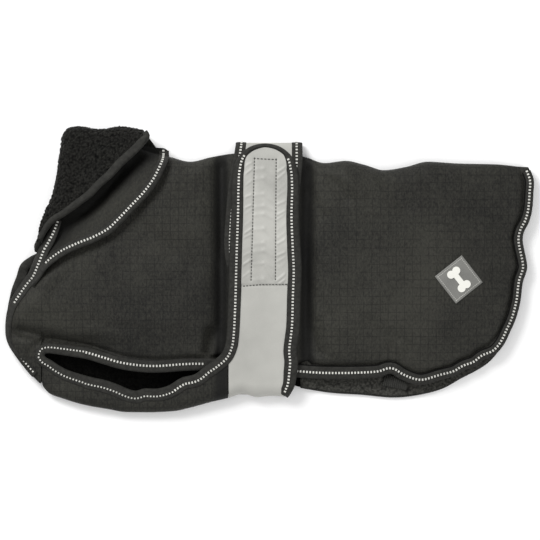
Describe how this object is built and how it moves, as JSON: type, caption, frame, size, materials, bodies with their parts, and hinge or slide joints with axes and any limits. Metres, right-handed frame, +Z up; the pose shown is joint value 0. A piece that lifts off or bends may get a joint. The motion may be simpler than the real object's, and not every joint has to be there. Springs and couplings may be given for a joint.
{
  "type": "dog winter coat",
  "caption": "Dog's winter coat, buckled shut and laid on its side, with a turned-down fleece collar, bound edges and a broad reflective belt.",
  "frame": {"origin": "centre of the laid coat's outline, on the surface it lies on", "axes": "+X from the neck to the tail, +Y from the belly to the spine fold, +Z up"},
  "size_m": [0.592, 0.3203, 0.0362],
  "materials": {
    "ripstop": "black ripstop shell cloth, matt, with a fine square grid",
    "reflective": "light grey reflective cloth, satin",
    "fleece": "black sherpa fleece",
    "tape": "black woven edge tape with short white dashes",
    "patch": "grey reflective patch",
    "webbing": "ribbed black webbing"
  },
  "bodies": {
    "root": {"left_front": "ripstop", "left_rear": "ripstop", "right_half": "ripstop", "chest_left": "ripstop", "chest_right": "ripstop", "shell_collar": "ripstop", "belt_tab": "reflective", "back_band": "reflective", "fleece_collar": "fleece", "collar_right": "fleece", "rear_lining": "fleece", "hem_tape": "tape", "neck_tape": "tape", "chest_tape": "tape", "belt_tape": "tape", "shell_collar_tape": "tape", "fleece_collar_tape": "tape", "lining_tape": "tape", "flank_patch": "patch", "hem_loop": "webbing"}
  },
  "joints": []
}
